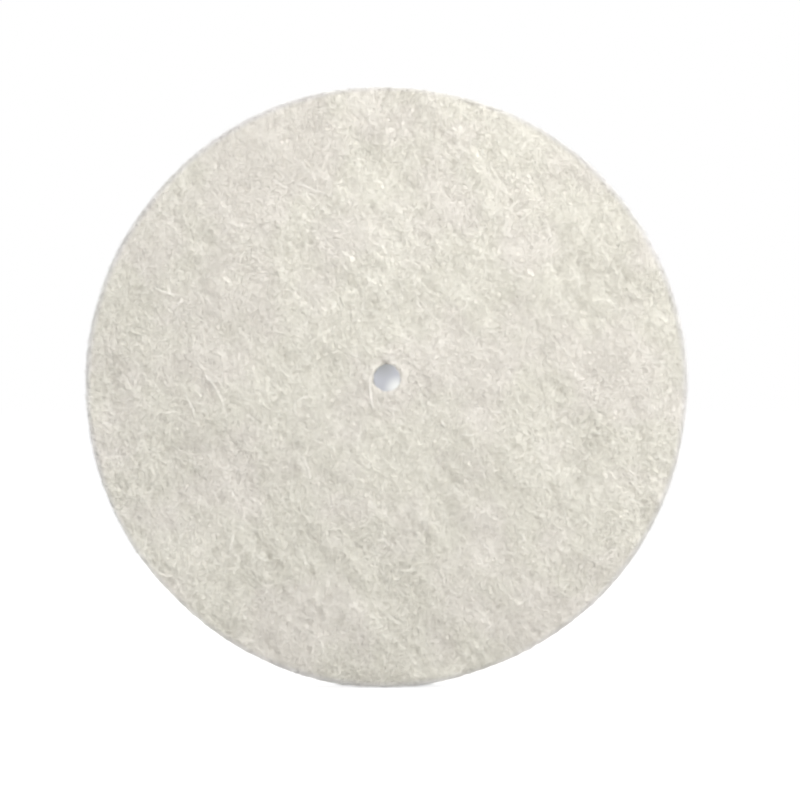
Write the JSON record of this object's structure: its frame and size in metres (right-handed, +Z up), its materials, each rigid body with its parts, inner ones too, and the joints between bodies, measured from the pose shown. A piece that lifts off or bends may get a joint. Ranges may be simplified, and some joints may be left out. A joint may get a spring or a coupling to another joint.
{
  "type": "felt polishing wheel",
  "caption": "Flat disc of pressed wool felt with a small pin hole, carried on a screw mandrel to polish stone and metal.",
  "frame": {"origin": "centre of the disc's outline, halfway through its thickness; the pin hole's axis is parallel to Y through x = 0.000025, z = 0.00036, because the hole is punched slightly off centre", "axes": "the wheel spins about Y and its front face looks along -Y; +Z is up as the wheel stands on its rim, and +X is to the right seen from the front"},
  "size_m": [0.0254, 0.0032, 0.0254],
  "materials": {
    "wool_felt": "matte"
  },
  "bodies": {
    "root": {"felt_disc": "wool_felt"}
  },
  "joints": []
}
